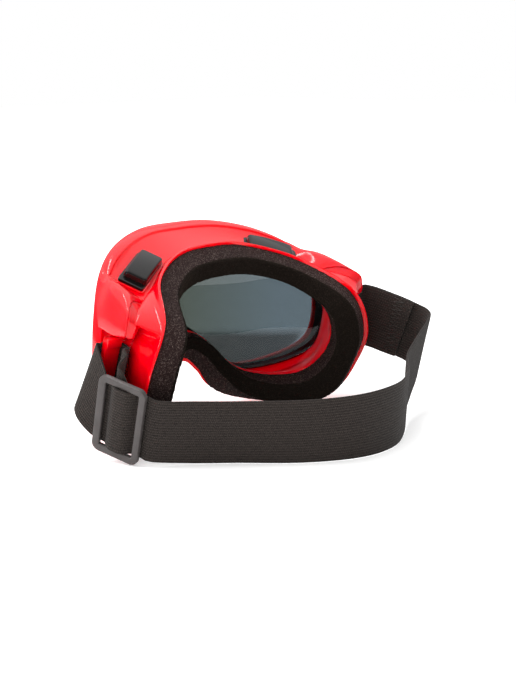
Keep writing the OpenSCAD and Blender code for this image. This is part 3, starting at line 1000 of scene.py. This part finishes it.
@dataclass
class StrapPlate:
    """The plate beside the frame that the strap wraps round, with its tab and lugs."""

    side: Side
    x0: float = 85.0
    x1: float = 95.0
    top: float = 72.2
    low: float = 26.4
    thin: float = 3.2
    thick: float = 4.0
    web_top: float = 66.4
    nearest: Triple = (89.2, 0, 42)
    gap: float = 1.5

    def depth(self) -> float:
        """Front of the plate in the leaning frame, mm: a gap behind the rim band where it is nearest."""
        return on_rim([Vector(self.nearest)], RIM_FRONT + FrontShell.band)[0].y + self.gap

    def slab(self, corners: Sequence[Pair], low: float, high: float, edge: float) -> bmesh.types.BMesh:
        """An upright slab over a plan of corner points, with rounded edges, in the row frame."""
        bm = bmesh.new()
        bmesh.ops.create_circle(bm, cap_ends=True, segments=len(corners), radius=1)
        for v, (x, y) in zip(bm.verts, corners):
            v.co = (x, y, low)
        grown = bmesh.ops.extrude_face_region(bm, geom=bm.faces[:])
        bmesh.ops.translate(bm, vec=(0, 0, high - low),
                            verts=[v for v in grown["geom"] if isinstance(v, bmesh.types.BMVert)])
        bevelled(bm, bm.edges, edge)
        for v in bm.verts:
            v.co = STANCE.place(Vector((v.co.x * self.side.value, v.co.y, v.co.z)))
        bmesh.ops.recalc_face_normals(bm, faces=bm.faces)
        return bm

    def build(self) -> None:
        """Makes the plate, its tab and its two lugs."""
        x0, x1, y = self.x0, self.x1, self.depth()
        thin, thick = y + self.thin, y + self.thick
        parts = {
            "strap_plate": (((x0, y), (x1, y), (x1, thin), (x0, thin)), self.low, self.top, 0.5),
            "plate_tab": (((x0, y), (x1, y), (x1, thick), (x0, thick)), self.web_top, self.top, 0.5),
            "plate_lug_low": (((77, 16), (x0 + 3, y + 0.4), (x0 + 3, y + 2.6), (76.6, 18.4)),
                              self.low + 0.2, self.low + 2.6, 0.25),
            "plate_lug_top": (((81.4, 14.6), (x1 - 1, y + 0.4), (x1 - 1, y + 2.6), (80.2, 19.6)),
                              self.top - 3.2, self.top - 0.2, 0.25),
        }
        for name, (corners, low, high, edge) in parts.items():
            obj = solid(f"{name}_{self.side.word}", self.slab(corners, low, high, edge), Skin.EDGED)
            fitted(obj, "goggle", "frame",
                   [f"outrigger_{self.side.word}"] if name == "strap_plate" else ())


@dataclass
class LensPack:
    """The two curved lenses and the seal between their edges."""

    steps: int = 10
    outer: float = 1.8
    gap: float = 4.0
    inner: float = 1.2
    clear: float = 4.4
    seal: float = 1.2
    seat: float = 3.1
    middle: float = 62.0
    edge: float = 0.15

    def sheet(self, cut: float, share: float, depth: float) -> Points:
        """Loop on a leaning cylinder face.

        Args:
            cut: how far the outline lies inside the rim, mm.
            share: size of the loop as a share of that outline.
            depth: how far the face lies behind the front of the outer lens, mm.

        Returns:
            Points in metres.
        """
        outline = curve(mirrored(inset(RIM.points(), cut)), self.steps, closed=True)
        flat = [Vector((p.x * share, 0, mixed(self.middle, p.z, share))) for p in outline]
        return [STANCE.place(p) for p in on_rim(flat, RIM_FRONT + self.seat, depth)]

    def lens(self, name: str, cut: float, front: float, thick: float) -> bpy.types.Object:
        """One lens: two faces and the narrow edge between them."""
        # loops from the middle out, closer together near the edge
        shares = [0.02, 0.15, 0.3, 0.45, 0.6, 0.72, 0.84, 0.94, 0.995]
        back = front + thick
        rows = [self.sheet(cut, s, front) for s in shares]
        rows += [self.sheet(cut, 1, front + self.edge), self.sheet(cut, 1, back - self.edge)]
        rows += [self.sheet(cut, s, back) for s in reversed(shares)]
        return solid(name, wrapped(rows, close_rows=False, cap=True), Skin.EDGED)

    def build(self) -> None:
        """Makes the lenses and the seal and puts them in place of the solids."""
        back = self.outer + self.gap
        front_lens = self.lens("lens_front", self.clear, 0, self.outer)
        fitted(front_lens, "goggle", "lens", ["lens_outer"])
        back_lens = self.lens("lens_back", self.clear + 0.3, back, self.inner)
        fitted(back_lens, "goggle", "lens", ["lens_inner"])
        near, far = self.clear + 0.4, self.clear + 0.4 + self.seal
        a, b = self.outer + 0.02, back - 0.02
        rows = [self.sheet(cut, 1, depth) for cut, depth in ((near, a), (near, b), (far, b), (far, a))]
        fitted(solid("lens_seal", wrapped(rows), Skin.EDGED), "goggle", "seal", ["lens_spacer"])


@dataclass
class Adjuster:
    """The adjuster on the strap: a moulded frame with a centre bar behind its face."""

    centre: Triple = (98.1, 53.5, 25.3)
    along: Triple = (0.342, -0.894, 0.289)
    up: Triple = (0.118, 0.346, 0.931)
    length: float = 27.6
    height: float = 46.0
    thick: float = 3.0
    bar: float = 4.0
    end_bar: float = 4.0
    corner_out: float = 4.4
    corner_in: float = 0.7
    centre_bar: Pair = (2.4, 1.6)
    centre_back: float = 1.7

    def axes(self) -> Tuple[Vector, Vector, Vector]:
        """Directions along the strap, up its width and towards the viewer's side."""
        s = Vector(self.along).normalized()
        u = Vector(self.up)
        u = (u - s * s.dot(u)).normalized()
        return s, u, u.cross(s)

    def at(self, s: float, n: float, u: float = 0.0) -> Vector:
        """Point at s along, n out and u up from the centre, in the standing frame, mm."""
        a, b, c = self.axes()
        return Vector(self.centre) + a * s + b * u + c * n

    def loop(self, share: float, n: float) -> Points:
        """Rounded rectangle a share of the way from the outer outline to the opening, at depth n."""
        half_l = self.length / 2 - self.bar * share
        half_h = self.height / 2 - self.end_bar * share
        r = mixed(self.corner_out, self.corner_in, share)
        out = []
        for quarter, (sx, sy) in enumerate(((1, 1), (-1, 1), (-1, -1), (1, -1))):
            for k in range(9):
                a = math.radians(90) * (quarter + k / 8)
                out.append(STANCE.row(self.at(sx * (half_l - r) + r * math.cos(a), n,
                                              sy * (half_h - r) + r * math.sin(a))))
        return out

    def build(self) -> None:
        """Makes the adjuster."""
        h = self.thick / 2
        section = [(0.16, h), (0.05, h - 0.15), (0, h - 0.6), (0, -h + 0.5), (0.1, -h), (0.85, -h),
                   (1, -h + 0.4), (1, h - 0.9), (0.9, h - 0.45)]
        obj = solid("adjuster_frame", wrapped([self.loop(s, n) for s, n in section]), Skin.EDGED)
        fitted(obj, "adjuster", "adjuster", ["strap_slider"])
        bar = bmesh.new()
        bmesh.ops.create_cube(bar, size=1)
        bmesh.ops.scale(bar, vec=(self.centre_bar[0], self.height - 3, self.centre_bar[1]), verts=bar.verts)
        bevelled(bar, bar.edges, 0.5)
        for v in bar.verts:
            v.co = STANCE.row(self.at(v.co.x, v.co.z - self.centre_back, v.co.y))
        fitted(solid("adjuster_bar", bar, Skin.EDGED), "adjuster", "adjuster")


@dataclass
class Strap:
    """The elastic strap: one run of ribbed webbing round both bars and through the adjuster."""

    adjuster: Adjuster
    width: float = 38.0
    thick: float = 1.4
    ribs: int = 24
    rib_h: float = 0.3
    plate: StrapPlate = field(default_factory=lambda: StrapPlate(Side.LEFT))
    bar_low: float = 30.2
    wrap: float = 1.85
    pitch: float = 2.5
    seam: Pair = (3.0, 6.4)
    stitch: float = 1.3
    stitches: int = 27
    thread: float = 0.24

    def stations(self) -> Tuple[List[Tuple[Vector, Vector]], Dict[str, int]]:
        """Bottom edge points of the strap with the direction across it, in the standing frame.

        Returns:
            The stations, and the numbers of those where the pieces are cut.
        """
        up = (STANCE.tip(Vector((0, 0, 1))) - STANCE.tip(Vector())).normalized()
        _, su, _ = self.adjuster.axes()
        x0, x1, y0 = self.plate.x0 + 0.6, self.plate.x1 - 0.6, self.plate.depth()

        def free(p: Triple, u: Triple) -> Tuple[Vector, Vector]:
            """Station at a chosen point of the open run."""
            return Vector(p), Vector(u).normalized()

        def bar(x: float, y: float) -> Tuple[Vector, Vector]:
            """Station beside a strap plate, from a point of the leaning frame."""
            return STANCE.tip(Vector((x, y, self.bar_low))), up

        def turn(side: Side, angle: float) -> Tuple[Vector, Vector]:
            """Station on the way round the front of a plate."""
            a = math.radians(angle)
            return bar(((x1 if angle <= 90 else x0) + self.wrap * math.cos(a)) * side.value,
                       y0 + 0.6 - self.wrap * math.sin(a))

        def slid(s: float, n: float, lift: float = 0.0) -> Tuple[Vector, Vector]:
            """Station in the adjuster."""
            return self.adjuster.at(s, n, lift - self.width / 2), su

        # the far sewn end, round the far plate, the open run, then the adjuster
        path = [free((-114.4, 60, 24.6), (0, 0.38, 0.92)), free((-111.2, 53.2, 26.8), (0, 0.2, 0.98)),
                free((-106.6, 44.4, 30), (0, 0.1, 1)), free((-101.8, 37.8, 30.4), (-0.02, 0.14, 1)),
                bar(-(x0 - self.wrap) - 1, y0 + 8.5),
                *(turn(Side.RIGHT, a) for a in (180, 135, 90.1, 90, 45, 0)),
                bar(-(x1 + self.wrap) - 1, y0 + 5),
                free((-103.4, 36.6, 30.4), (-0.02, 0.14, 1)), free((-108.3, 43.5, 30), (0, 0.1, 1)),
                free((-113, 52.4, 26.8), (0, 0.2, 0.98)), free((-116.4, 59.6, 24.4), (0, 0.38, 0.92)),
                free((-117.8, 68, 21.2), (0, 0.38, 0.92)), free((-111.8, 78.8, 16.2), (0, 0.26, 1)),
                free((-92.5, 89.8, 9.6), (0.08, 0.2, 1)), free((-70, 103, 3.4), (0.08, 0.13, 1)),
                free((-50.5, 118.8, 0.6), (0.02, 0.1, 1)), free((-25, 132, 0.4), (0.05, 0.16, 1)),
                free((1, 132, 0.4), (0.16, 0.2, 1)), free((28, 117, 0.4), (0.17, 0.26, 1)),
                free((52, 92, 0.4), (0.2, 0.28, 1)), free((69, 76.5, 0.8), (0.17, 0.3, 1))]
        cuts = {"run": len(path) - 2}
        path += [slid(-20, -3.2), slid(-13.6, -2.75), slid(-9.8, -2.75), slid(-7.4, -2.2), slid(-5.2, 0.3),
                 slid(-3, 1.8), slid(0, 2)]
        cuts["over"] = len(path) - 1
        path += [slid(3, 1.8), slid(5.2, 0.3), slid(7.4, -2.2), slid(9.8, -2.75), slid(13.8, -2.85),
                 free((100.4, 30.1, 15.6), (0.03, 0.49, 0.87)),
                 free((103.2, 26.4, 21.3), (-0.07, 0.49, 0.87)),
                 free((103.2, 23.7, 26), (-0.09, 0.46, 0.88)), free((100.8, 23, 28.2), (-0.06, 0.39, 0.92)),
                 *(turn(Side.LEFT, a) for a in (60, 90, 90.1, 135, 180))]
        cuts["turn"] = len(path) - 1
        # back from the near plate and down behind the adjuster to the sewn end on its centre bar
        path += [bar(x0 - self.wrap, y0 + 8), free((91.3, 39.3, 24.9), (0.01, 0.31, 0.95)),
                 free((91.8, 41.5, 23.4), (0.03, 0.35, 0.94)), free((93.4, 42.3, 21), (0.12, 0.36, 0.93)),
                 free((94, 43, 18.6), (0.15, 0.36, 0.93)), free((93.4, 44.2, 16.1), (0.15, 0.39, 0.92)),
                 slid(0.6, -4.4, 1.5), slid(-1.6, -3.7, -0.4), slid(-2.7, -2.6, -0.8), slid(-2.8, -1.2, -0.8),
                 slid(-1.8, -0.2, -0.5), slid(0, 0.1), slid(2.6, -0.5), slid(4.4, -1.8)]
        cuts["end"] = len(path) - 1
        return path, cuts

    def centreline(self) -> Tuple[List[Tuple[Vector, Vector]], List[int]]:
        """The smooth run through the stations.

        Returns:
            Bottom edge points with directions, and for each the station before it.
        """
        path, _ = self.stations()
        out, owner = [], []
        for i in range(len(path) - 1):
            places, ups = zip(*around(path, i))
            count = max(3, math.ceil((places[2] - places[1]).length / self.pitch))
            for k in range(count):
                out.append((spline(*places, k / count), spline(*ups, k / count).normalized()))
                owner.append(i)
        out.append(path[-1])
        owner.append(len(path) - 1)
        return out, owner

    def profile(self) -> List[Pair]:
        """Section of the webbing: height across it and depth from its middle, mm, all round."""
        step = self.width / self.ribs
        low, high = self.thick / 2 - self.rib_h, self.thick / 2
        face = []
        for i in range(self.ribs):
            shy = 0.6 if i in (0, self.ribs - 1) else 1.0
            # groove, flank, crest and flank of one rib
            for share, lift in ((0.0, 0.0), (0.22, 0.8), (0.5, 1.0), (0.78, 0.8)):
                face.append(((i + share) * step, low + (high - low) * lift * shy))
        face[0] = (0.12, low * 0.6)
        face.append((self.width - 0.12, low * 0.6))
        return face + [(v, -w) for v, w in reversed(face)]

    def piece(self, name: str, first: int, last: int) -> bpy.types.Object:
        """One length of webbing between two stations.

        Args:
            name: name of the piece.
            first: number of its first station.
            last: number of its last station.

        Returns:
            The piece, with its weave map.
        """
        line, owner = self.centreline()
        lo, hi = owner.index(first), owner.index(last)
        section = self.profile()
        rows, marks = [], []
        run = sum((line[i + 1][0] - line[i][0]).length for i in range(lo))
        for i in range(lo, hi + 1):
            tangent = (line[min(len(line) - 1, i + 1)][0] - line[max(0, i - 1)][0]).normalized()
            base, up = line[i]
            out = tangent.cross(up).normalized()
            if i > lo:
                run += (base - line[i - 1][0]).length
            marks.append(run)
            rows.append([STANCE.row(base + up * v + out * w) for v, w in section])
        bm = wrapped(rows, close_rows=False)
        self.map(bm, rows, marks, section)
        ends = [e for e in bm.edges if e.is_boundary]
        for e in ends:
            e.smooth = False
        bmesh.ops.holes_fill(bm, edges=ends, sides=0)
        bmesh.ops.recalc_face_normals(bm, faces=bm.faces)
        return solid(name, bm)

    def map(self, bm: bmesh.types.BMesh, rows: Sequence[Points], marks: Sequence[float],
            section: Sequence[Pair]) -> None:
        """Writes the weave map: u along the webbing and v across it, both in mm."""
        place = {}
        for j, row in enumerate(rows):
            for i, p in enumerate(row):
                place[tuple(round(c, 7) for c in p)] = (marks[j], section[i][0])
        layer = bm.loops.layers.uv.new("weave")
        for face in bm.faces:
            for corner in face.loops:
                key = tuple(round(c, 7) for c in corner.vert.co)
                corner[layer].uv = place.get(key, (0, 0))

    def build(self) -> None:
        """Makes the strap in lengths cut at the adjuster."""
        _, cuts = self.stations()
        run = self.piece("strap_run", 0, cuts["run"])
        fitted(run, "goggle", "webbing", ["strap"])
        near = self.piece("strap_to_adjuster", cuts["run"], cuts["over"])
        front = self.piece("strap_from_adjuster", cuts["over"], cuts["turn"])
        back = self.piece("strap_return", cuts["turn"], cuts["end"])
        for obj, still, carried in ((near, -30, -9), (front, 40, 9), (back, 40, 4)):
            fitted(obj, "", "webbing", ["strap"])
            tuple(STANCE.row(self.adjuster.at(still, 0)))
            tuple(STANCE.row(self.adjuster.at(carried, 0)))
            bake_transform(obj)
        for word, face in (("inside", 1), ("outside", -1)):
            fitted(self.zigzag(f"strap_stitches_{word}", face), "goggle", "thread")

    def zigzag(self, name: str, face: int) -> bpy.types.Object:
        """Zigzag seam across the sewn end of the strap.

        Args:
            name: name of the piece.
            face: 1 or -1, the face of the webbing that it lies on.

        Returns:
            The thread, as one closed tube.
        """
        line, _ = self.centreline()
        bends = []
        for reach in self.seam:
            i, run = 0, 0.0
            while run < reach:
                run += (line[i + 1][0] - line[i][0]).length
                i += 1
            share = 1 - (run - reach) / (line[i][0] - line[i - 1][0]).length
            out = (line[i][0] - line[i - 1][0]).cross(line[i][1]).normalized()
            bends.append((mixed(line[i - 1][0], line[i][0], share), line[i][1], out))
        up, out = bends[0][1], bends[0][2]
        aside = mixed(up.cross(out).normalized(), up, 0.5)
        rows = []
        for k in range(self.stitches + 1):
            base, rise, off = bends[k % 2]
            middle = base + rise * (1.5 + k * self.stitch) + off * (self.thick / 2 + 0.08) * face
            rows.append([STANCE.row(middle + (out * math.cos(a) + aside * math.sin(a)) * self.thread)
                         for a in (math.radians(60) * n for n in range(6))])
        return solid(name, wrapped(rows, close_rows=False, cap=True), Skin.EDGED)


# Setting


@dataclass
class Studio:
    """Camera, white floor and soft light of a catalogue picture."""

    target: Triple = (-21.42, -32.67, 41.53)
    back: Triple = (0.69406, 0.68924, 0.20791)
    right: Triple = (-0.70332, 0.71082, -0.00854)
    up: Triple = (-0.15367, -0.14030, 0.97811)
    distance: float = 800.0
    lens: float = 72.0

    def camera(self) -> None:
        """Sets the camera at the viewing angle of the photograph."""
        data = bpy.data.cameras.new("camera")
        data.lens = self.lens
        data.clip_start = 0.01
        cam = bpy.data.objects.new("camera", data)
        r, u, b = (Vector(v).normalized() for v in (self.right, self.up, self.back))
        turn = Matrix((r, u, b)).transposed().to_4x4()
        cam.matrix_world = Matrix.Translation((Vector(self.target) + b * self.distance) * MM) @ turn
        bpy.context.scene.collection.objects.link(cam)
        bpy.context.scene.camera = cam

    def lamp(self, name: str, place: Triple, aim: Triple, size: Pair, power: float,
             mirrored: bool = True) -> None:
        """Adds a rectangular soft light.

        Args:
            name: name of the lamp.
            place: where it stands, m.
            aim: the point that it faces, m.
            size: its two sides, m.
            power: its power, W.
            mirrored: False keeps its own shape out of the gloss.
        """
        data = bpy.data.lights.new(name, "AREA")
        data.shape = "RECTANGLE"
        data.size, data.size_y = size
        data.energy = power
        lamp = bpy.data.objects.new(name, data)
        lamp.location = place
        lamp.rotation_euler = (Vector(aim) - Vector(place)).to_track_quat("-Z", "Y").to_euler()
        lamp.visible_glossy = mirrored
        bpy.context.scene.collection.objects.link(lamp)

    def world(self) -> None:
        """A white room, whose reflections are brightest overhead and dim behind the camera."""
        world = bpy.data.worlds.new("room")
        bpy.context.scene.world = world
        world.use_nodes = True
        tree = world.node_tree
        tree.nodes.clear()
        way = add(tree, "TexCoord", out="Generated")
        camera, through, gloss = (add(tree, "LightPath", out=f"Is {ray} Ray")
                                  for ray in ("Camera", "Transmission", "Glossy"))
        # dimmer from the camera's side and below, and more so in what the gloss mirrors
        shade = self.slope(tree, way, (0.66, 0.66, -0.36), (-0.25, 0.9), (1.0, 0.7))
        mirror = self.slope(tree, way, (0.4, 0.4, -0.82), (-0.85, 0.3), (0.75, 0.12))
        lit = add(tree, "Mix", {0: gloss, 2: shade, 3: mirror})
        seen = add(tree, "Math", {0: camera, 1: through}, operation="MAXIMUM")
        level = add(tree, "Mix", {0: seen, 2: lit, 3: 1.0})
        paint = add(tree, "Background", {"Strength": level, "Color": "#FFFFFF"})
        add(tree, "OutputWorld", {"Surface": paint})

    @staticmethod
    def slope(tree: bpy.types.NodeTree, way: Any, axis: Triple, span: Pair, levels: Pair) -> Any:
        """Level that runs along an axis, between two places on it."""
        side = add(tree, "VectorMath", {0: way, 1: axis}, "Value", operation="DOT_PRODUCT")
        return add(tree, "MapRange", {0: side, 1: span[0], 2: span[1], 3: levels[0], 4: levels[1]})

    def floor(self) -> None:
        """A white sweep under the goggles that keeps their shadow; through the lens it glows, dim near the
        goggles as a painted shadow.
        """
        bm = bmesh.new()
        bmesh.ops.create_grid(bm, x_segments=1, y_segments=1, size=4)
        obj = solid("floor", bm)
        obj.location.z = -0.0001
        m = Material("white_laminate_sweep")
        camera, transmission = (m.add("LightPath", out=f"Is {ray} Ray") for ray in ("Camera", "Transmission"))
        far = m.add("VectorMath", {0: m.place}, "Value", operation="LENGTH")
        rise = m.add("MapRange", {0: far, 1: 0.2, 2: 0.9, 3: 0.32, 4: 0.8})
        # through the lens, the floor glows dim up to a line past the goggles: a painted shadow of the goggles
        painted_lens_shadow = self.slope(m.tree, m.place, (-0.7, -0.71, 0), (0.262, 0.292), (0.2, 1.0))
        paint = m.add("BsdfDiffuse", {"Color": "#EFEFEF"})
        glow, dark, through = (m.add("Emission", {"Strength": level, "Color": "#FFFFFF"})
                               for level in (rise, 0.0, painted_lens_shadow))
        lit = m.add("MixShader", {0: camera, 1: dark, 2: glow})
        total = m.add("AddShader", {0: paint, 1: lit})
        m.add("OutputMaterial", {"Surface": m.add("MixShader", {0: transmission, 1: total, 2: through})})
        obj.data.materials.append(m.made)

    def build(self) -> None:
        """Sets up the picture."""
        bpy.context.scene.view_settings.view_transform = "Standard"
        self.camera()
        self.world()
        self.floor()
        self.lamp("overhead", (-0.1, -0.15, 1.2), (0, 0, 0.05), (2.0, 2.0), 6)
        self.lamp("strip_across", (0.1, -0.1, 1.0), (0, 0, 0.05), (1.0, 0.05), 2)
        self.lamp("window", (0.85, -0.6, 0.85), (0, 0, 0.05), (0.45, 0.42), 12)
        self.lamp("fill", (1.0, 0.42, 0.32), (0.05, 0.05, 0.04), (0.6, 0.6), 5, mirrored=False)


def main() -> None:
    """Builds every sub-assembly in order."""
    logging.basicConfig(level=logging.INFO, format="%(message)s")
    Studio().build()
    FrontShell().build()
    FaceShell().build()
    FacePad().build()
    LensPack().build()
    for side in Side:
        TopVent(side).build()
        StrapPlate(side).build()
    adjuster = Adjuster()
    adjuster.build()
    Strap(adjuster).build()


if __name__ == "__main__":
    main()
